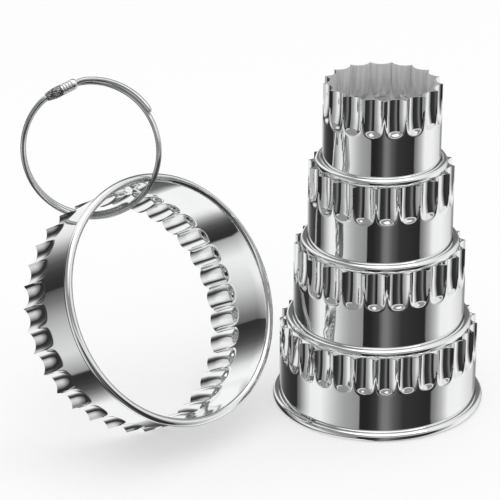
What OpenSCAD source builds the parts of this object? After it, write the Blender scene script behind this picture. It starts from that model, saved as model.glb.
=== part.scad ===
// Set of fluted round cutters: four stand in a tower, the largest leans beside it on its fluted edge,
// and a sprung wire ring for keeping them together is threaded through the largest one.
// +Z is up, the table is z = 0, and the person cutting looks along +Y.

/* [Cutters] */
// Diameter of the large cutter, which carries the tower
large_d = 70; // [66:1:76]
// How much smaller in diameter each cutter of the tower is than the one below it
size_step = 9.7; // [8:0.1:11]
// Diameter of the largest cutter, which leans beside the tower
largest_d = 83.2; // [80:0.1:88]
// Height of each cutter, from its rim to its fluted edge
cutter_h = 30; // [26:1:34]
// Thickness of the sheet that the cutters are pressed from
sheet_t = 0.4; // [0.3:0.05:0.6]

/* [Rolled rim] */
// Diameter of the bead that the rim is rolled into
bead_d = 2.9; // [2.4:0.1:3.4]
// How far the bead is flattened where the cutter stands
bead_flat = 0.05; // [0.03:0.01:0.1]
// Gap between the rolled end of the sheet and the wall
curl_gap = 0.15; // [0.1:0.05:0.3]

/* [Fluted edge] */
// How far the flutes run down from the cutting edge
flute_len = 13; // [11:0.5:15]
// Width of the flat left on the crest between two flutes
crest_w = 0.35; // [0.25:0.05:0.6]
// How far the rim of a cutter reaches over the flutes of the one below it
seat_reach = 0.35; // [0.2:0.05:0.6]
// Clearance between a rim and the fluted edge that it stands on
seat_gap = 0.08; // [0.05:0.01:0.2]
// Flutes round the smallest cutter
smallest_flutes = 17; // [15:1:19]
// Flutes round the small cutter
small_flutes = 20; // [18:1:22]
// Flutes round the middle cutter
middle_flutes = 24; // [22:1:26]
// Flutes round the large cutter
large_flutes = 29; // [27:1:31]
// Flutes round the largest cutter
largest_flutes = 33; // [31:1:35]

/* [Largest cutter's place] */
// How far its rim is raised above level, in degrees
lean_rise = 29.7; // [26:0.1:33]
// How far its rim is turned from the front towards the tower, in degrees
lean_turn = 49; // [46:0.5:52]
// Distance of its rim's centre to the left of the tower
lean_left = 69.7; // [69:0.1:76]
// Distance of its rim's centre in front of the tower
lean_front = 32; // [30:0.5:36]

/* [Storage ring] */
// Radius of the ring, to the middle of the wire
ring_r = 23.4; // [23:0.1:25]
// Thickness of the wire
wire_d = 1.9; // [1.6:0.1:2]
// How far the two turns lie apart, measured along the radius
turn_gap = 1.2; // [1:0.05:1.3]
// How far the wire is sprung to the front and back by the wall that it is threaded over
spring_lean = 7.5; // [7.2:0.1:7.8]
// How far the sprung wire also twists out of its plane
spring_twist = 5.4; // [5.1:0.1:5.7]

/* [Ring clasp] */
// Outer diameter of the clasp
clasp_d = 3.9; // [3.7:0.1:4.1]
// Length of the ribbed sleeve
sleeve_l = 5.8; // [5.4:0.1:6.2]
// Length of the knurled nut
nut_l = 5.6; // [5.2:0.1:6]
// Clearance between the wire and the bore of the nut
nut_play = 0.3; // [0.26:0.01:0.35]

/* [Hidden] */
$fn = 96;
// length by which a cut runs past what it cuts
overrun = 1;

// the tower stands off the origin, which is under the middle of the whole set
tower_right = 43.6;
tower_back = 15.1;

// sizes of the tower, from its base up
middle_d = large_d - size_step;
small_d = middle_d - size_step;
smallest_d = small_d - size_step;
// the flutes are as deep as it takes for a rim to stand on the cutter one size up
flute_depth = size_step / 2 - bead_d + seat_reach;
// the bead in section: its centre beside the wall and above the table
bead_r = bead_d / 2;
bead_z = bead_r - bead_flat;
function bead_at(d) = d / 2 - sheet_t + bead_r;
// the band is plain from the bead up to here, just below the flutes
plain_h = cutter_h - flute_len - overrun;
// width of the slit that parts the backs of two flutes, behind the crest between them
slit_w = 0.12;
// step between the band's faces and those of a flute's back, which overlaps the band
lap_step = 0.03;
half_share = 0.5;

// a rim sinks a little into the flutes of the cutter below, until the bead meets their edge
function seat_drop(d, below_d) =
    bead_z - sqrt(pow(bead_r, 2) - pow(below_d / 2 - flute_depth - sheet_t - bead_at(d), 2));
middle_z = cutter_h - seat_drop(middle_d, large_d) + seat_gap;
small_z = middle_z + cutter_h - seat_drop(small_d, middle_d) + seat_gap;
smallest_z = small_z + cutter_h - seat_drop(smallest_d, small_d) + seat_gap;

// where the first crest of each cutter points, in degrees
large_spin = 8.3;
middle_spin = 5.3;
small_spin = 14.2;
smallest_spin = 18;
largest_spin = 2.1;

// the largest cutter's rim is so high that the crests of its fluted edge meet the table
lean_z = cutter_h * sin(lean_rise) + largest_d / 2 * cos(lean_rise) * cos(largest_spin);

// one groove: a round trough that crosses the band's circle at two crests
function groove_half(d, n) = d / 2 * sin(180 / n) - crest_w / 2;
function groove_sag(d, n) = sqrt(pow(d / 2, 2) - pow(groove_half(d, n), 2)) - d / 2 + flute_depth;
function groove_r(d, n) =
    (pow(groove_half(d, n), 2) + pow(groove_sag(d, n), 2)) / (2 * groove_sag(d, n));
function groove_at(d, n) = d / 2 - flute_depth + groove_r(d, n);
// height of the middle of the round end of a groove
function groove_z(d, n) =
    cutter_h - flute_len + sqrt(pow(groove_r(d, n), 2) - pow(groove_at(d, n) - d / 2, 2));

// the crossing stretch of the wire rests on the largest cutter's rim: at this angle round the ring, at
// this angle round the rim, and in this direction from the bead's middle, from straight outwards
rest_at = 329.3;
rest_round = -167.2;
rest_turn = -138.5;
// clearance between the wire and the rim
rest_gap = 0.16;
rest_reach = bead_d / 2 + wire_d / 2 + rest_gap;
// the way that the ring faces, in the largest cutter's frame
ring_face = [-163.9, 35.3, 101];
// the wire runs from its first end, in degrees round the ring, through one turn and three quarters
wire_start = 30;
wire_sweep = 632;
wire_rings = 128;
wire_sides = 10;
// the stretch where the wire crosses from the front turn to the back one
cross_from = 302;
cross_to = 390;
// the turns close up where they lie one behind the other
close_at = 172;
// distance from the front turn to the back one, along the way that the ring faces
turn_step = 1.66;
close_step = 0.4;
// the wire is straight where it goes through the clasp, and the back turn makes room for it
clasp_at = 115;
clasp_reach = 28;
clasp_dip = 0.9;
clasp_room = 1.6;
straight_to = 60;
soften = 0.3;
// directions in which the sprung wire comes forward, in degrees
lean_at = 33.1;
twist_at = -16.5;

angle_step = 0.5;
// length of the ring for each degree round it
degree_l = PI * ring_r / 180;

function ease(x) = let (c = min(1, max(0, x))) c * c * (3 - 2 * c);
function apart(a, b) = let (g = (a - b) - 360 * round((a - b) / 360)) g;
function close(a) = pow((1 + cos(a - close_at)) / 2, 2);
function near_clasp(a) = exp(-pow(apart(a, clasp_at) / clasp_reach, 4));
// 1 on the front turn, -1 on the back one
function side(a) = 1 - 2 * ease((a - cross_from) / (cross_to - cross_from));
function turn_radius(a) = ring_r + side(a) * turn_gap / 2 * (1 - close(a));
// a straight chord at the clasp, which runs smoothly into the turn on both sides
function chord_radius(a) = (ring_r - clasp_dip) / cos(min(straight_to, abs(apart(a, clasp_at))));
function wire_radius(a) = abs(apart(a, clasp_at)) < straight_to
    ? (turn_radius(a) + chord_radius(a) - norm([turn_radius(a) - chord_radius(a), soften])) / 2
    : turn_radius(a);
function sprung(a) = spring_lean * cos(a - lean_at) + spring_twist * cos(2 * (a - twist_at));
// where the wire climbs out of the ring's plane, the turns are further apart to stay clear
function climb(a) = (sprung(a + angle_step) - sprung(a - angle_step)) / (2 * angle_step * degree_l);
function wire_depth(a) = sprung(a) + side(a) / 2 * norm([1, climb(a)])
    * (turn_step + close_step * close(a) + clasp_room * near_clasp(a));
function wire_point(a) = [wire_radius(a) * cos(a), wire_radius(a) * sin(a), wire_depth(a)];

function unit(v) = v / norm(v);
function wire_way(a) = unit(wire_point(a + angle_step) - wire_point(a - angle_step));

// the rolled rim and the plain wall, in section: the sheet curls outwards and back to the wall
module wall_section(d) {
    translate([d / 2 - sheet_t, bead_z]) square([sheet_t, cutter_h - bead_z]);
    difference() {
        translate([bead_at(d), bead_z]) circle(r = bead_r);
        translate([bead_at(d), bead_z]) circle(r = bead_r - sheet_t);
        translate([d / 2, bead_z]) square([curl_gap, bead_d]);
        translate([0, -bead_d]) square([d, bead_d]);
    }
}

// a groove: a round trough, open at the top, with a round lower end
module groove(d, n, r) {
    translate([groove_at(d, n), 0, groove_z(d, n)]) rotate_extrude() intersection() {
        translate([0, -r]) square([r, r + flute_len]);
        union() {
            circle(r = r);
            square([r, flute_len]);
        }
    }
}

// the stretch of a groove that lies in one flute's share of the band, clear of the next flute's
module pocket(d, n, r, outside, top) {
    turn = 180 / n - asin(slit_w / d);
    inside = d / 2 - flute_depth - overrun;
    intersection() {
        rotate([0, 0, -turn]) rotate_extrude(angle = 2 * turn)
            translate([inside, plain_h]) square([outside - inside, top - plain_h]);
        groove(d, n, r);
    }
}

// the sheet behind one flute, which goes round the groove and into the band
module flute_back(d, n) {
    difference() {
        pocket(d, n, groove_r(d, n) + sheet_t, d / 2 - lap_step, cutter_h - lap_step);
        groove(d, n, groove_r(d, n));
    }
}

module round_band(n, spin) {
    for (i = [0:n - 1]) rotate([0, 0, spin + (i + half_share) * 360 / n]) children();
}

// one cutter, standing on its rolled rim with its fluted edge up
module cutter(d, n, spin) {
    difference() {
        rotate([0, 0, spin]) rotate_extrude() wall_section(d);
        round_band(n, spin)
            pocket(d, n, groove_r(d, n) + 2 * lap_step, d / 2 + overrun, cutter_h + overrun);
    }
    round_band(n, spin) flute_back(d, n);
}

module on_tower(z = 0) {
    translate([tower_right, tower_back, z]) children();
}

module large_cutter() {
    color([0.78, 0.79, 0.8]) on_tower() cutter(large_d, large_flutes, large_spin);
}

module middle_cutter() {
    color([0.78, 0.79, 0.8]) on_tower(middle_z) cutter(middle_d, middle_flutes, middle_spin);
}

module small_cutter() {
    color([0.78, 0.79, 0.8]) on_tower(small_z) cutter(small_d, small_flutes, small_spin);
}

module smallest_cutter() {
    color([0.78, 0.79, 0.8]) on_tower(smallest_z) cutter(smallest_d, smallest_flutes, smallest_spin);
}

// the largest cutter lies back on its fluted edge, with its rim raised towards the front
module on_lean() {
    on_tower() translate([-lean_left, -lean_front, lean_z])
        rotate([0, 90 + lean_rise, 90 + lean_turn]) children();
}

module largest_cutter() {
    color([0.78, 0.79, 0.8]) on_lean() cutter(largest_d, largest_flutes, largest_spin);
}

// the ring hangs on the largest cutter's rim, so it goes where that goes
module on_ring() {
    on_lean() rotate([0, 0, rest_round])
        translate([bead_at(largest_d) + rest_reach * cos(rest_turn), 0, bead_z + rest_reach * sin(rest_turn)])
            rotate(ring_face) translate(-wire_point(rest_at)) children();
}

// the wire as one tube along its path, a little thinner at its two ends
end_share = 0.55;
function wire_r(i) = wire_d / 2 * (i == 0 || i == wire_rings - 1 ? end_share : 1);
function wire_edge(i, a) = let (
    way = wire_way(a),
    out = unit(cross([0, 0, 1], way)),
    up = cross(way, out))
    [for (k = [0:wire_sides - 1]) let (t = 360 * k / wire_sides)
        wire_point(a) + wire_r(i) * (cos(t) * out + sin(t) * up)];

module ring_wire() {
    points = [for (i = [0:wire_rings - 1])
        each wire_edge(i, wire_start + wire_sweep * i / (wire_rings - 1))];
    sides = [for (i = [0:wire_rings - 2], k = [0:wire_sides - 1])
        let (p = i * wire_sides + k, q = i * wire_sides + (k + 1) % wire_sides)
        each [[p, q + wire_sides, q], [p, p + wire_sides, q + wire_sides]]];
    first_end = [for (k = [0:wire_sides - 1]) k];
    last_end = [for (k = [wire_sides - 1:-1:0]) (wire_rings - 1) * wire_sides + k];
    color([0.7, 0.71, 0.72]) on_ring() polyhedron(points, concat([first_end], sides, [last_end]));
}

// the clasp sits on the front turn: local +Z runs along the wire, towards the sleeve
clasp_way = -wire_way(clasp_at);
module on_clasp() {
    on_ring() translate(wire_point(clasp_at))
        rotate([0, acos(clasp_way[2]), atan2(clasp_way[1], clasp_way[0])]) children();
}

// the sleeve: ribbed, with a rounded end and a neck that the nut turns on; it grips the wire
sleeve_grip = 0.06;
rib_depth = 0.25;
ribs = 4;
rib_share = 0.72;
neck_l = 1.6;
neck_wall = 0.5;
neck_r = wire_d / 2 + neck_wall;
rib_pitch = sleeve_l * rib_share / ribs;

module sleeve_section() {
    difference() {
        union() {
            square([clasp_d / 2, sleeve_l - clasp_d / 2]);
            translate([0, sleeve_l - clasp_d / 2]) circle(d = clasp_d);
            translate([0, -neck_l]) square([neck_r, neck_l + overrun]);
        }
        translate([-overrun - clasp_d, -neck_l - overrun])
            square([clasp_d + overrun + wire_d / 2 - sleeve_grip, sleeve_l + clasp_d]);
        for (i = [1:ribs]) translate([clasp_d / 2 + rib_depth, (i - half_share) * rib_pitch])
            circle(r = 2 * rib_depth);
    }
}

module clasp_sleeve() {
    color([0.85, 0.85, 0.86]) on_clasp() rotate_extrude() sleeve_section();
}

// the nut: a knurled barrel that tapers towards the wire
nut_gap = 0.15;
neck_play = 0.08;
taper_share = 0.5;
tip_share = 0.72;
knurls = 16;
knurl_r = 0.22;
nut_bore = wire_d / 2 + nut_play;

module nut_section() {
    difference() {
        polygon([
            [nut_bore, -nut_gap],
            [clasp_d / 2, -nut_gap],
            [clasp_d / 2, -nut_gap - nut_l * taper_share],
            [clasp_d / 2 * tip_share, -nut_gap - nut_l],
            [nut_bore, -nut_gap - nut_l]]);
        translate([0, -neck_l - nut_gap]) square([neck_r + neck_play, neck_l + overrun]);
    }
}

module clasp_nut() {
    color([0.3, 0.3, 0.31]) on_clasp() difference() {
        rotate_extrude() nut_section();
        for (i = [0:knurls - 1]) rotate([0, 0, i * 360 / knurls])
            translate([clasp_d / 2, 0, -nut_l * taper_share]) cylinder(r = knurl_r, h = nut_l);
    }
}

large_cutter();
middle_cutter();
small_cutter();
smallest_cutter();
largest_cutter();
ring_wire();
clasp_sleeve();
clasp_nut();
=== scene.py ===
"""Looks of the fluted cutter set: mirror-polished sheet, rolled rims, sprung wire ring and its clasp."""

from math import acos, atan2, cos, exp, pi, radians, sin, sqrt

import bmesh
import bpy
from mathutils import Matrix, Vector


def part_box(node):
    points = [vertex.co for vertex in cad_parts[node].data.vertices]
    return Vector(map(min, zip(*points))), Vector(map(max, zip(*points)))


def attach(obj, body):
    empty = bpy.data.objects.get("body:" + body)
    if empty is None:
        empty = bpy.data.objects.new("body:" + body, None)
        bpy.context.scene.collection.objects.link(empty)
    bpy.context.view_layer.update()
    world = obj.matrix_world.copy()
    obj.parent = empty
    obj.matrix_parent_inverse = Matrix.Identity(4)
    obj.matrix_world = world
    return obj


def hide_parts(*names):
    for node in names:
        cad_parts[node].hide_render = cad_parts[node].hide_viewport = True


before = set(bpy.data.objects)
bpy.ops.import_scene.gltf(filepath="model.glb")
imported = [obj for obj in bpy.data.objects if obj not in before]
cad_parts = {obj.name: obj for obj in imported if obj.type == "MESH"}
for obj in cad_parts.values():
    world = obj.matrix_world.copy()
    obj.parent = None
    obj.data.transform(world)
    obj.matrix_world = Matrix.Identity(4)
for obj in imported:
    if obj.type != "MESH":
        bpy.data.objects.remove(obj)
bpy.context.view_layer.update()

MM = 0.001
UP = Vector((0, 0, 1))


# camera
def aim_camera():
    """The photograph's view: a long lens, a little above the set."""
    place = Vector((0.0436, -0.7690, 0.4005))
    yaw, pitch, roll = -0.0580, 0.4140, -0.0043
    ahead = Vector((sin(yaw) * cos(pitch), cos(yaw) * cos(pitch), -sin(pitch)))
    level = Vector((cos(yaw), -sin(yaw), 0))
    over = level.cross(ahead)
    right = level * cos(roll) + over * sin(roll)
    top = over * cos(roll) - level * sin(roll)
    lens = bpy.data.cameras.new("view")
    lens.sensor_width = 36
    lens.lens = 175.6
    lens.clip_start = 0.01
    camera = bpy.data.objects.new("view", lens)
    camera.matrix_world = Matrix.Translation(place) @ Matrix((right, top, -ahead)).transposed().to_4x4()
    bpy.context.collection.objects.link(camera)
    bpy.context.scene.camera = camera


aim_camera()
bpy.context.scene.view_settings.view_transform = "Standard"


# shader helpers
class Wire:
    """A number in a shader: sums and products of these add their Math nodes."""

    def __init__(self, shader, socket):
        self.shader, self.socket = shader, socket

    def math(self, operation, other=0.0, swap=False):
        pair = (other, self) if swap else (self, other)
        return self.shader.node("ShaderNodeMath", {"operation": operation}, dict(enumerate(pair)))

    def __add__(self, other):
        return self.math("ADD", other)

    def __sub__(self, other):
        return self.math("SUBTRACT", other)

    def __rsub__(self, other):
        return self.math("SUBTRACT", other, swap=True)

    def __mul__(self, other):
        return self.math("MULTIPLY", other)

    def __truediv__(self, other):
        return self.math("DIVIDE", other)

    def __pow__(self, other):
        return self.math("POWER", other)

    __radd__ = __add__
    __rmul__ = __mul__

    def at_least(self, level):
        return self.math("MAXIMUM", level)

    def past(self, place, soft):
        """0 below a place, 1 above it, over a soft width."""
        return ((self - place) / soft + 0.5).at_least(0.0).math("MINIMUM", 1.0)


class Shader:
    """Adds nodes to one material or world by type, settings and socket values."""

    def __init__(self, tree):
        self.tree = tree
        tree.nodes.clear()

    def node(self, kind, settings, values, out=0):
        """One node: settings go first, then its sockets by name or number, and out names what it gives."""
        made = self.tree.nodes.new(kind)
        for key, value in settings.items():
            if key == "stops":
                set_stops(made.color_ramp.elements, value)
            else:
                setattr(made, key, value)
        for key, value in values.items():
            if isinstance(value, Wire):
                self.tree.links.new(value.socket, made.inputs[key])
            else:
                made.inputs[key].default_value = value
        if isinstance(out, tuple):
            return [Wire(self, made.outputs[each]) for each in out]
        return Wire(self, made.outputs[out]) if made.outputs else None

    def attribute(self, name, out="Fac"):
        return self.node("ShaderNodeAttribute", {"attribute_name": name}, {}, out)

    def object_place(self):
        return self.node("ShaderNodeTexCoord", {}, {}, "Object")

    def noise(self, place, scale, detail=2.0, roughness=0.5):
        values = {"Vector": place, "Scale": scale, "Detail": detail, "Roughness": roughness}
        return self.node("ShaderNodeTexNoise", {}, values)

    def ramp(self, value, *stops):
        return self.node("ShaderNodeValToRGB", {"stops": stops}, {0: value})

    def stretched(self, place, *amounts):
        return self.node("ShaderNodeVectorMath", {"operation": "MULTIPLY"}, {0: place, 1: amounts})

    def ramp_at(self, value, low, high, *stops):
        """A ramp whose stops stand at the value's own numbers between low and high."""
        placed = [((place - low) / (high - low), level) for place, level in stops]
        return self.ramp((value - low) / (high - low), *placed)

    def mix(self, share, first, second):
        return self.node("ShaderNodeMix", {"data_type": "RGBA"}, {0: share, 6: first, 7: second}, 2)

    def bump(self, height, strength, depth):
        return self.node("ShaderNodeBump", {}, {"Strength": strength, "Distance": depth, "Height": height})

    def surface(self, **sockets):
        named = {key.replace("_", " "): value for key, value in sockets.items()}
        self.node("ShaderNodeOutputMaterial", {}, {0: self.node("ShaderNodeBsdfPrincipled", {}, named)})


def grey(level):
    return (level, level, level, 1)


def set_stops(elements, stops):
    while len(elements) < len(stops):
        elements.new(1)
    for element, (place, level) in zip(elements, stops):
        element.position = place
        element.color = grey(level)


def new_material(name):
    material = bpy.data.materials.new(name)
    material.use_nodes = True
    return material, Shader(material.node_tree)


def polished_sheet():
    """Mirror-polished steel: lines round the band, handling haze and a duller edge; where marked inside, less
    metal and a streaked grey base, a painted reflection.
    """
    material, shader = new_material("polished_sheet")
    along = shader.attribute("along", "Vector")
    height = shader.attribute("height")
    lines = shader.noise(shader.stretched(along, 60, 60, 5200), 1.0, 3.0)
    haze = shader.noise(along, 45.0, 5.0, 0.6)
    spots = shader.ramp(shader.noise(along, 420.0), (0.0, 0.0), (0.66, 0.0), (0.74, 1.0))
    edge = shader.ramp(height, (0.0, 0.0), (0.965, 0.0), (1.0, 1.0))
    tint = shader.ramp(haze * 0.7 + lines * 0.3, (0.3, 0.0), (0.7, 1.0))
    # the marked inside of a small cutter is less metal with a streaked grey base: a painted reflection of the
    # grey the polished inside shows
    satin = shader.attribute("satin")
    painted_reflection_streaks = shader.noise(shader.stretched(along, 1500, 1500, 60), 1.0, 2.0)
    painted_reflection_grey = shader.ramp(painted_reflection_streaks, (0.3, 0.70), (0.7, 0.92))
    bright = shader.mix(tint, (0.85, 0.855, 0.865, 1), (0.92, 0.922, 0.925, 1))
    shader.surface(
        Base_Color=shader.mix(satin, bright, painted_reflection_grey),
        Metallic=1 - satin * 0.75,
        Roughness=0.03 + haze ** 3.0 * 0.12 + spots * 0.03 + edge * 0.08 + satin * 0.04,
        Normal=shader.bump(lines * 0.6 + haze * 0.4, 0.05, 0.00002),
    )
    return material


def drawn_wire():
    """Bright spring wire: die marks along its length and slight tarnish."""
    material, shader = new_material("drawn_wire")
    place = shader.object_place()
    tarnish = shader.noise(place, 130.0, 4.0)
    marks = shader.noise(place, 900.0)
    shader.surface(
        Base_Color=shader.mix(
            shader.ramp(tarnish, (0.35, 0.0), (0.7, 1.0)), (0.50, 0.505, 0.51, 1), (0.64, 0.645, 0.65, 1)
        ),
        Metallic=1.0,
        Roughness=0.16 + tarnish * 0.14,
        Normal=shader.bump(marks, 0.08, 0.00003),
    )
    return material


def plated_sleeve():
    """Bright plating with painted shade darkening the bottoms of its ribs, which are also rougher."""
    material, shader = new_material("plated_sleeve")
    dip = shader.attribute("dip")
    grain = shader.noise(shader.object_place(), 900.0, 3.0)
    shader.surface(
        # the rib bottoms are painted darker: painted shade
        Base_Color=shader.mix(dip, (0.94, 0.942, 0.945, 1), (0.66, 0.66, 0.665, 1)),
        Metallic=1.0,
        Roughness=0.22 + dip * 0.2 + grain * 0.08,
    )
    return material


def blackened_nut():
    """Dark oxidised steel, rubbed brighter on the crests of its knurl."""
    material, shader = new_material("blackened_nut")
    dip = shader.attribute("dip")
    grain = shader.noise(shader.object_place(), 1400.0, 3.0)
    rubbed = (1 - dip) * shader.ramp(grain, (0.42, 0.1), (0.58, 1.0))
    shader.surface(
        Base_Color=shader.mix(rubbed, (0.05, 0.05, 0.052, 1), (0.85, 0.85, 0.86, 1)),
        Metallic=1.0,
        Roughness=0.34 + grain * 0.18,
    )
    return material


POLISHED = polished_sheet()
DRAWN = drawn_wire()
PLATED = plated_sleeve()
BLACKENED = blackened_nut()


# mesh helpers
def turned(points, angle, steps, closed=False):
    """A surface turned about the upright axis from a line of (radius, height) points."""
    mesh = bmesh.new()
    row = [mesh.verts.new((x, 0, z)) for x, z in points]
    line = [mesh.edges.new(pair) for pair in zip(row, row[1:] + row[:1] if closed else row[1:])]
    full = angle >= 2 * pi
    bmesh.ops.spin(
        mesh, geom=row + line, cent=(0, 0, 0), axis=UP, angle=angle, steps=steps, use_merge=full
    )
    return mesh


def shade(mesh, angle):
    for face in mesh.faces:
        face.smooth = True
    for edge in mesh.edges:
        edge.smooth = len(edge.link_faces) == 2 and edge.calc_face_angle() < angle


def piece(name, mesh, material, body, node):
    """A finished mesh as a piece that stands for its CAD node."""
    data = bpy.data.meshes.new(name)
    mesh.to_mesh(data)
    mesh.free()
    data.materials.append(material)
    made = bpy.data.objects.new(name, data)
    bpy.context.collection.objects.link(made)
    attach(made, body)
    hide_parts(node)
    return made


# the cutters
HEIGHT = 30 * MM
SHEET = 0.4 * MM
BEAD = 1.45 * MM
BEAD_UP = 1.40 * MM
CURL_GAP = 0.15 * MM
FLUTE_DEPTH = 2.30 * MM
FLUTE_LENGTH = 13 * MM
FLUTE_END = HEIGHT - FLUTE_LENGTH
CREST = 0.2 * MM
# length and share of the depth of the flute's long taper, and of the dome that ends it
TAPER, TAPER_SHARE = 9 * MM, 0.62
DOME, DOME_SHARE = 2.1 * MM, 0.38
# width of the fillet between flute and band: along the flute, and what the taper and the dome add to it
FILLET, TAPER_FILLET, DOME_FILLET = 0.1 * MM, 0.3 * MM, 0.5 * MM
# a flute's columns of faces, and how far they gather at the crests
COLUMNS, GATHER = 24, 0.12
# rows round the curl, up the plain band, over the flutes' ends and up the flutes
CURL_ROWS, PLAIN_ROWS, END_ROWS, FLUTE_ROWS = 20, 3, 22, 16
END_BELOW, END_ABOVE = 2.2 * MM, 2.4 * MM
ROW_SLACK = 0.1 * MM
WELD = 1e-6
SHARP = radians(38)
# cutters under this radius get a painted reflection inside: a streaked matt grey in place of what the
# polished inside reflects
PAINTED_REFLECTION_UNDER = 21 * MM


def ease(x):
    x = min(1, max(0, x))
    return x * x * (3 - 2 * x)


def soft_least(first, second, soft):
    """The smaller of two, rounded off over a soft width where they meet."""
    return min(first, second) - max(0, 1 - abs(first - second) / soft) ** 3 * soft / 6


def groove(radius, flutes):
    """Radius and centre of one groove, on the band's outer face."""
    half = radius * sin(pi / flutes) - CREST / 2
    sag = sqrt(radius ** 2 - half ** 2) - radius + FLUTE_DEPTH
    round_r = (half ** 2 + sag ** 2) / (2 * sag)
    return round_r, radius - FLUTE_DEPTH + round_r


def section(radius):
    """The sheet's inner face from the curl's free end, under the rim and up the band."""
    middle = radius - SHEET + BEAD
    first = acos((CURL_GAP + SHEET - BEAD) / BEAD)
    curl = [first - (first + pi) * k / CURL_ROWS for k in range(CURL_ROWS + 1)]
    line = [(middle + BEAD * cos(a), BEAD_UP + BEAD * sin(a)) for a in curl]
    low, mid = FLUTE_END - END_BELOW, FLUTE_END + END_ABOVE
    stretches = ((BEAD_UP, low, PLAIN_ROWS), (low, mid, END_ROWS), (mid, HEIGHT, FLUTE_ROWS))
    for start, end, rows in stretches:
        line += [(radius - SHEET, start + (end - start) * k / rows) for k in range(1, rows + 1)]
    return line


def press_flute(mesh, radius, pitch, round_r, centre):
    """Gathers the columns towards the crests and presses a groove in between that grows shallow downwards."""
    for vert in mesh.verts:
        out, z = sqrt(vert.co.x ** 2 + vert.co.y ** 2), vert.co.z
        share = atan2(vert.co.y, vert.co.x) / pitch
        turn = (share - GATHER * sin(2 * pi * share)) * pitch
        if out < radius and z > FLUTE_END - END_BELOW - ROW_SLACK:
            taper = max(0, FLUTE_END + TAPER - z) / TAPER
            dome = max(0, FLUTE_END + DOME - z) / DOME
            middle = centre + FLUTE_DEPTH * (TAPER_SHARE * taper ** 2 + DOME_SHARE * dome ** 2)
            away = turn - pitch / 2
            pressed = middle * cos(away) - sqrt(max(round_r ** 2 - (middle * sin(away)) ** 2, 0))
            out = soft_least(out, pressed, FILLET + TAPER_FILLET * taper + DOME_FILLET * dome)
        vert.co = (out * cos(turn), out * sin(turn), z)


def fluted_cutter(diameter, flutes, first_crest):
    """One cutter on its own axis and rim: a flute's share of the sheet, pressed, repeated and thickened."""
    radius, pitch = diameter / 2, 2 * pi / flutes
    round_r, centre = groove(radius, flutes)
    mesh = turned(section(radius), pitch, COLUMNS)
    press_flute(mesh, radius, pitch, round_r + SHEET, centre)
    share = mesh.verts[:] + mesh.edges[:] + mesh.faces[:]
    rest, steps = 2 * pi - pitch, flutes - 1
    bmesh.ops.spin(
        mesh, geom=share, cent=(0, 0, 0), axis=UP, angle=rest, steps=steps, use_duplicate=True
    )
    bmesh.ops.remove_doubles(mesh, verts=mesh.verts, dist=WELD)
    start = Matrix.Rotation(radians(first_crest), 3, "Z")
    bmesh.ops.rotate(mesh, verts=mesh.verts, cent=(0, 0, 0), matrix=start)
    bmesh.ops.recalc_face_normals(mesh, faces=mesh.faces)
    upper = max(mesh.faces, key=lambda face: face.calc_center_median().z)
    if upper.normal.dot(upper.calc_center_median()) > 0:
        bmesh.ops.reverse_faces(mesh, faces=mesh.faces)
    bmesh.ops.solidify(mesh, geom=mesh.faces[:], thickness=SHEET)
    bmesh.ops.recalc_face_normals(mesh, faces=mesh.faces)
    mesh.normal_update()
    mark_and_trim(mesh, radius)
    shade(mesh, SHARP)
    return mesh


def mark_and_trim(mesh, radius):
    """Marks height, place and the inside for the painted reflection in the finish, and trims what the
    thickening pushed outwards.
    """
    along = mesh.verts.layers.float_vector.new("along")
    height = mesh.verts.layers.float.new("height")
    satin = mesh.verts.layers.float.new("satin")
    for vert in mesh.verts:
        x, y, z = vert.co
        # marks the inside faces of small cutters for the painted reflection
        inner = vert.normal.x * x + vert.normal.y * y < 0 and z > 2 * BEAD_UP
        vert[satin] = 1 if inner and radius < PAINTED_REFLECTION_UNDER else 0
        z = max(0, min(HEIGHT, z))
        trim = min(1, radius / sqrt(x * x + y * y)) if z > FLUTE_END else 1
        vert.co = vert[along] = (x * trim, y * trim, z)
        vert[height] = z / HEIGHT


TOWER = Vector((43.6, 15.1, 0)) * MM
# each cutter's diameter, flutes, first crest in degrees and body
CUTTERS = {
    "large_cutter": (70 * MM, 29, 8.3, "large"),
    "middle_cutter": (60.3 * MM, 24, 5.3, "middle"),
    "small_cutter": (50.6 * MM, 20, 14.2, "small"),
    "smallest_cutter": (40.9 * MM, 17, 18.0, "smallest"),
    "largest_cutter": (83.2 * MM, 33, 2.1, "largest"),
}
# the middle of the leaning cutter's rim, left of the tower's middle and in front of it
LEAN_LEFT, LEAN_FRONT = 69.7 * MM, 32 * MM
LEAN_RISE, LEAN_TURN = radians(29.7), radians(49)
LARGEST_R = CUTTERS["largest_cutter"][0] / 2
LOWEST_CREST = radians(CUTTERS["largest_cutter"][2])
LEAN_UP = HEIGHT * sin(LEAN_RISE) + LARGEST_R * cos(LEAN_RISE) * cos(LOWEST_CREST)
LEAN = (
    Matrix.Translation((TOWER.x - LEAN_LEFT, TOWER.y - LEAN_FRONT, LEAN_UP))
    @ Matrix.Rotation(pi / 2 + LEAN_TURN, 4, "Z")
    @ Matrix.Rotation(pi / 2 + LEAN_RISE, 4, "Y")
)


def make_cutters():
    for node, (diameter, flutes, first_crest, body) in CUTTERS.items():
        mesh = fluted_cutter(diameter, flutes, first_crest)
        if node == "largest_cutter":
            place = LEAN
        else:
            place = Matrix.Translation((TOWER.x, TOWER.y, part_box(node)[0].z))
        bmesh.ops.transform(mesh, matrix=place, verts=mesh.verts)
        piece(node.replace("_cutter", "_band"), mesh, POLISHED, body, node)


make_cutters()


# the storage ring
# sizes of the wire's path in mm, and places along it in degrees
RING_R = 23.4
WIRE_R = 0.95
START, SPAN, SPANS = 30, 632, 420
# where the wire crosses from one strand to the other
CROSS_AT, CROSS_SPAN = 302, 88
# where the strands part least in radius and most in depth
CLOSE_AT, SPREAD, CLOSE_STEP = 172, 0.6, 0.4
STRAND_STEP = 1.66
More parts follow.
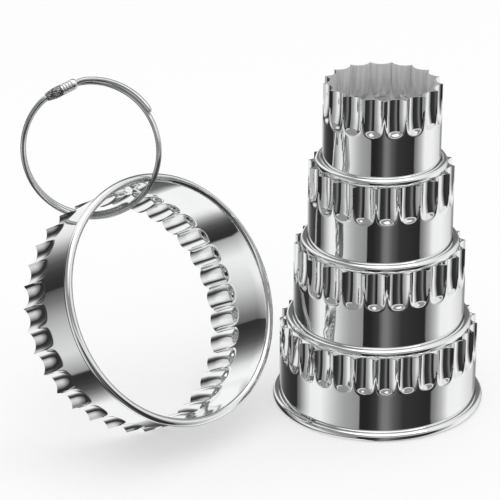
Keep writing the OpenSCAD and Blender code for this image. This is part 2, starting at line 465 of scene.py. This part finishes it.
# the straight stretch through the clasp and how far in it lies, then how much further the strands part there
CLASP_ANGLE, STRAIGHT_SPAN, CHORD_IN, CHORD_SOFT = 115, 60, 0.9, 0.3
CLASP_STEP, CLASP_SPAN = 1.6, 28
# how the ring leans and twists out of a flat circle: depth, and where it is deepest
LEAN_DEPTH, LEAN_AT = 7.5, 33.1
TWIST_DEPTH, TWIST_AT = 5.4, -16.5
# thickness of the wire at its rounded ends, as shares of the full one
END_SHARES = (0.45, 0.78, 0.93, 1.0)
# where the wire rests in the leaning cutter's rim: along the wire, round the rim, round the bead, clearance
REST_ANGLE, RIM_TURN, BEAD_SIDE, REST_GAP = 329.3, -167.2, -138.5, 0.16
# how the ring hangs there, turned about Z, Y and X
HANG_TURNS = (101, 35.3, -163.9)


def wire_point(angle):
    """The middle of the wire, in mm, at an angle in degrees through its one turn and three quarters."""
    a = radians(angle)
    side = 1 - 2 * ease((angle - CROSS_AT) / CROSS_SPAN)
    close = ((1 + cos(a - radians(CLOSE_AT))) / 2) ** 2
    apart = abs((angle - CLASP_ANGLE) - 360 * round((angle - CLASP_ANGLE) / 360))
    radius = RING_R + side * SPREAD * (1 - close)
    if apart < STRAIGHT_SPAN:
        chord = (RING_R - CHORD_IN) / cos(radians(apart))
        radius = (radius + chord - sqrt((radius - chord) ** 2 + CHORD_SOFT ** 2)) / 2
    lean, twist = a - radians(LEAN_AT), 2 * (a - radians(TWIST_AT))
    climb = (-LEAN_DEPTH * sin(lean) - 2 * TWIST_DEPTH * sin(twist)) / RING_R
    step = STRAND_STEP + CLOSE_STEP * close + CLASP_STEP * exp(-((apart / CLASP_SPAN) ** 4))
    depth = LEAN_DEPTH * cos(lean) + TWIST_DEPTH * cos(twist) + side / 2 * step * sqrt(1 + climb * climb)
    return Vector((radius * cos(a), radius * sin(a), depth))


def ring_place():
    """The crossing stretch of the wire rests on the inside of the leaning cutter's rim."""
    reach, way = BEAD + (WIRE_R + REST_GAP) * MM, radians(BEAD_SIDE)
    rest = Vector((LARGEST_R - SHEET + BEAD + reach * cos(way), 0, BEAD_UP + reach * sin(way)))
    facing = Matrix.Identity(4)
    for angle, axis in zip(HANG_TURNS, "ZYX"):
        facing = facing @ Matrix.Rotation(radians(angle), 4, axis)
    return (
        LEAN
        @ Matrix.Rotation(radians(RIM_TURN), 4, "Z")
        @ Matrix.Translation(rest)
        @ facing
        @ Matrix.Scale(MM, 4)
        @ Matrix.Translation(-wire_point(REST_ANGLE))
    )


RING = ring_place()


def make_wire():
    """One round wire along the path, its ends rounded off."""
    curve = bpy.data.curves.new("sprung_wire", "CURVE")
    curve.dimensions = "3D"
    curve.bevel_depth = WIRE_R * MM
    curve.bevel_resolution = 6
    curve.use_fill_caps = True
    angles = [START + SPAN * k / SPANS for k in range(SPANS + 1)]
    line = curve.splines.new("POLY")
    line.points.add(len(angles) - 1)
    for k, angle in enumerate(angles):
        line.points[k].co = (*(RING @ wire_point(angle)), 1)
        line.points[k].radius = END_SHARES[min(k, SPANS - k, len(END_SHARES) - 1)]
    made = bpy.data.objects.new("sprung_wire", curve)
    bpy.context.collection.objects.link(made)
    curve.materials.append(DRAWN)
    for spline in curve.splines:
        spline.use_smooth = True
    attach(made, "ring")
    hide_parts("ring_wire")


make_wire()

# the clasp stands on the wire, its sleeve towards the wire's start
CLASP_AT = RING @ wire_point(CLASP_ANGLE)
CLASP_WAY = (RING @ wire_point(CLASP_ANGLE - 0.5) - RING @ wire_point(CLASP_ANGLE + 0.5)).normalized()
CLASP = Matrix.Translation(CLASP_AT) @ UP.rotation_difference(CLASP_WAY).to_matrix().to_4x4()
CLASP_R = 1.95 * MM
EASED, SHOULDER = 0.12 * MM, 0.15 * MM
SLEEVE_LENGTH, SLEEVE_BORE, CAP_SHARE, CAP_ROWS = 5.8 * MM, 0.93 * MM, 0.28, 10
NECK_R, NECK_LENGTH = 1.45 * MM, 1.6 * MM
RIBS, RIB, RIB_ROWS = 4, 0.12 * MM, 48
NUT_LENGTH, NUT_BORE, NUT_GAP, NUT_ROWS = 5.6 * MM, 1.25 * MM, 0.15 * MM, 57
# the wider bore that takes the sleeve's neck
NECK_BORE, NECK_ROOM = 1.53 * MM, 1.8 * MM
# how much of the nut tapers, and by what share of its radius
TAPER_FROM, TAPER_BY = 0.5, 0.28
KNURLS, KNURL_PITCH, KNURL = 12, 1.05 * MM, 0.2 * MM


def make_sleeve():
    """The ribbed sleeve, turned in one with its rounded end and the neck for the nut."""
    body = SLEEVE_LENGTH * (1 - CAP_SHARE)
    line = [(SLEEVE_BORE, -NECK_LENGTH), (NECK_R, -NECK_LENGTH), (NECK_R, 0)]
    line += [(CLASP_R - SHOULDER, 0), (CLASP_R, EASED)]
    for k in range(1, RIB_ROWS + 1):
        up = EASED + (body - EASED) * k / RIB_ROWS
        wave = 0.5 - 0.5 * cos(2 * pi * RIBS * k / RIB_ROWS)
        line.append((CLASP_R - RIB * wave ** 1.5, up))
    cap, wall = SLEEVE_LENGTH - body, CLASP_R - SLEEVE_BORE
    for k in range(1, CAP_ROWS):
        round_by = pi / 2 * k / CAP_ROWS
        line.append((SLEEVE_BORE + wall * cos(round_by) ** 0.8, body + cap * sin(round_by)))
    line.append((SLEEVE_BORE, SLEEVE_LENGTH))
    mesh = turned(line, 2 * pi, 72, closed=True)
    bmesh.ops.recalc_face_normals(mesh, faces=mesh.faces)
    dip = mesh.verts.layers.float.new("dip")
    for vert in mesh.verts:
        out = sqrt(vert.co.x ** 2 + vert.co.y ** 2)
        vert[dip] = min(1, max(0, (CLASP_R - out) / RIB)) if 0.1 * MM < vert.co.z < body else 0
    shade(mesh, radians(40))
    bmesh.ops.transform(mesh, matrix=CLASP, verts=mesh.verts)
    piece("ribbed_sleeve", mesh, PLATED, "ring", "clasp_sleeve")


def make_nut():
    """The knurled nut: two sets of crossed grooves pressed into a barrel that tapers to the wire."""
    far, rim = -NUT_GAP - NUT_LENGTH, 0.05 * MM
    line = [(NECK_BORE, -NUT_GAP), (CLASP_R - EASED, -NUT_GAP)]
    for k in range(1, NUT_ROWS):
        share = k / NUT_ROWS
        taper = max(0, share - TAPER_FROM) / (1 - TAPER_FROM)
        line.append((CLASP_R * (1 - TAPER_BY * taper), -NUT_GAP - NUT_LENGTH * share))
    line += [(NUT_BORE + 0.02 * MM, far), (NUT_BORE, far + rim)]
    line += [(NUT_BORE, -NECK_ROOM), (NECK_BORE, -NECK_ROOM)]
    mesh = turned(line, 2 * pi, 144, closed=True)
    bmesh.ops.recalc_face_normals(mesh, faces=mesh.faces)
    dip = mesh.verts.layers.float.new("dip")
    for vert in mesh.verts:
        x, y, z = vert.co
        out = sqrt(x * x + y * y)
        if out < NUT_BORE + 2 * rim or not rim < -z - NUT_GAP < NUT_LENGTH - rim:
            vert[dip] = 0.5
            continue
        turn = atan2(y, x) * KNURLS / (2 * pi)
        slant = -z / KNURL_PITCH
        cut = max(abs(((turn + slant) % 1) - 0.5), abs(((turn - slant) % 1) - 0.5)) * 2
        vert[dip] = cut ** 3
        scale = (out - KNURL * vert[dip]) / out
        vert.co = (x * scale, y * scale, z)
    shade(mesh, radians(50))
    bmesh.ops.transform(mesh, matrix=CLASP, verts=mesh.verts)
    piece("knurled_nut", mesh, BLACKENED, "nut", "clasp_nut")


make_sleeve()
make_nut()


# table, studio and lamps
PLAIN_WHITE = 0.5
# the card that the metal sees on the left: its ends in degrees round from the front, its edges up from level
CARD_START, CARD_END, CARD_LOW, CARD_LEVEL, CARD_TOP = -108, -20, -45, -1, 16
# the stretch of the front that is dimmer higher up, and how far the white ceiling comes down there
FACING_START, FACING_END, CEILING_DROP = -104, 64, 22


def make_table():
    """A pale table with the set's shadow, half plain white to the camera and hidden from the metal."""
    material, shader = new_material("pale_table")
    matt = shader.node("ShaderNodeBsdfDiffuse", {}, {"Color": grey(0.95)})
    white = shader.node("ShaderNodeEmission", {}, {"Strength": 1.0})
    camera_ray = shader.node("ShaderNodeLightPath", {}, {}, "Is Camera Ray")
    table_top = shader.node("ShaderNodeMixShader", {}, {0: camera_ray * PLAIN_WHITE, 1: matt, 2: white})
    shader.node("ShaderNodeOutputMaterial", {}, {0: table_top})
    mesh = bmesh.new()
    bmesh.ops.create_circle(mesh, cap_ends=True, radius=6, segments=96)
    data = bpy.data.meshes.new("table")
    mesh.to_mesh(data)
    mesh.free()
    data.materials.append(material)
    table = bpy.data.objects.new("table", data)
    bpy.context.collection.objects.link(table)
    table.visible_glossy = False


def studio_world():
    """White to the camera; polished metal sees a light card on the left, a dark room and a striped front."""
    world = bpy.data.worlds.new("studio")
    world.use_nodes = True
    bpy.context.scene.world = world
    shader = Shader(world.node_tree)
    way = shader.node("ShaderNodeTexCoord", {}, {}, "Generated")
    x, y, z = shader.node("ShaderNodeSeparateXYZ", {}, {0: way}, (0, 1, 2))
    turn = x.math("ARCTAN2", y * -1.0) * (180 / pi)
    rise = z.math("ARCSINE") * (180 / pi)

    away = (CARD_START - turn).at_least(0.0) / 60 * (1 + (rise + 27).at_least(-18.0) / 60)
    away = away + (rise - CARD_LEVEL).at_least(0.0) / 30 + (CARD_LOW - rise).at_least(0.0) / 18
    room = shader.ramp_at(
        away, 0, 1.4,
        (0.0, 0.03), (0.2, 0.036), (0.42, 0.055), (0.6, 0.10), (0.75, 0.21), (0.9, 0.44), (1.07, 0.84),
        (1.2, 1.0),
    )
    room = room * (1 - 0.64 * (turn * -1.0).past(173, 14))
    card = shader.ramp_at(
        turn, CARD_START, CARD_END,
        (CARD_START, 0.11), (-102, 0.24), (-92, 0.64), (-84, 0.94), (-69, 0.96), (-57, 0.72), (-47, 0.52),
        (-38, 0.40), (CARD_END, 0.30),
    )
    card = card * shader.ramp_at(
        rise, CARD_LOW, CARD_LEVEL, (CARD_LOW, 0.42), (-32, 1.0), (-12, 1.0), (CARD_LEVEL, 0.8)
    )
    top = ((turn - CARD_START) * 1.2 - 1).math("MINIMUM", CARD_TOP)
    on_card = turn.past(CARD_START, 1.2) * rise.past(CARD_LOW, 1.5) * (1 - (rise - top).past(0, 1.5))
    front = shader.ramp_at(
        turn, CARD_END, 180,
        (CARD_END, 0.02), (-10, 0.022), (0, 0.047), (7, 0.20), (12, 0.21), (20, 0.105), (31, 0.04),
        (51, 0.03), (65, 0.024), (67, 0.20), (72, 0.29), (82, 0.55), (92, 0.95), (112, 0.97), (122, 0.90),
        (140, 0.76), (147, 0.70), (155, 0.32), (180, 0.32),
    )
    front = shader.mix(rise.past(15, 8), front, grey(0.85))
    seen = shader.mix(turn.past(CARD_END, 1.2), shader.mix(on_card, room, card), front)
    facing = turn.past(FACING_START, 8) * (1 - turn.past(FACING_END, 4))
    seen = shader.mix(rise.past(26, 8) * facing, seen, grey(0.3))
    sideways = turn.math("ABSOLUTE")
    behind = (sideways.past(150, 14) * rise.past(8, 6)).at_least(sideways.past(170, 8))
    seen = shader.mix(behind * 0.85, seen, grey(0.06))
    seen = shader.mix((rise - facing * CEILING_DROP).past(50, 12), seen, grey(1))
    kinds = ("Is Camera Ray", "Is Glossy Ray")
    camera_ray, glossy_ray = shader.node("ShaderNodeLightPath", {}, {}, kinds)
    colour = shader.mix(camera_ray, shader.mix(glossy_ray, grey(0.88), seen), grey(1))
    light = shader.node("ShaderNodeBackground", {}, {"Color": colour, "Strength": 1.0})
    shader.node("ShaderNodeOutputWorld", {}, {0: light})


def add_lamp(name, place, target, size, watts):
    data = bpy.data.lights.new(name, "AREA")
    data.size = size
    data.energy = watts
    lamp = bpy.data.objects.new(name, data)
    lamp.location = place
    lamp.rotation_euler = (Vector(target) - Vector(place)).to_track_quat("-Z", "Y").to_euler()
    bpy.context.collection.objects.link(lamp)


make_table()
studio_world()
add_lamp("overhead", place=(0.2, -0.3, 1.4), target=(0, 0, 0.05), size=1.4, watts=5)
